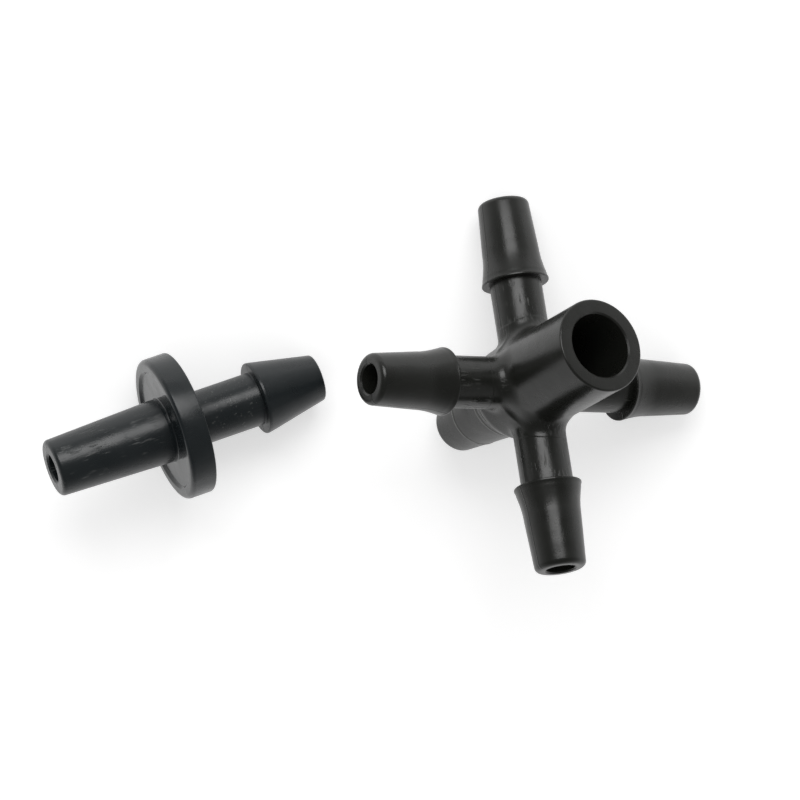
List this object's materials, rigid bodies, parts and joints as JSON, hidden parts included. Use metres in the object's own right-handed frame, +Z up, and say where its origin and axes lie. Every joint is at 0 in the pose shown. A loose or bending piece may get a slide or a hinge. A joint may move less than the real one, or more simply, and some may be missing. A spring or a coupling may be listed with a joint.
{
  "type": "barbed micro-irrigation manifold",
  "caption": "Barbed micro-hose manifold with a round socket and a blind stub, and its flanged barbed inlet adapter lying loose beside it.",
  "frame": {"origin": "middle of the bottom of the bounding box, on the table the two pieces lie on", "axes": "+X from the adapter to the manifold, the longest way; +Y from the adapter's side to the raised socket's side; +Z up off the table, the shortest way"},
  "size_m": [0.0518, 0.0274, 0.0186],
  "materials": {
    "black_plastic": "satin",
    "cool_black_plastic": "satin"
  },
  "bodies": {
    "manifold": {"manifold_body": "black_plastic"},
    "adapter": {"inlet_adapter": "cool_black_plastic"}
  },
  "joints": [
    {"name": "adapter_lift", "type": "slide", "parent": "manifold", "child": "adapter", "axis": [0, 0, 1], "range_m": [0, 0.05]}
  ]
}
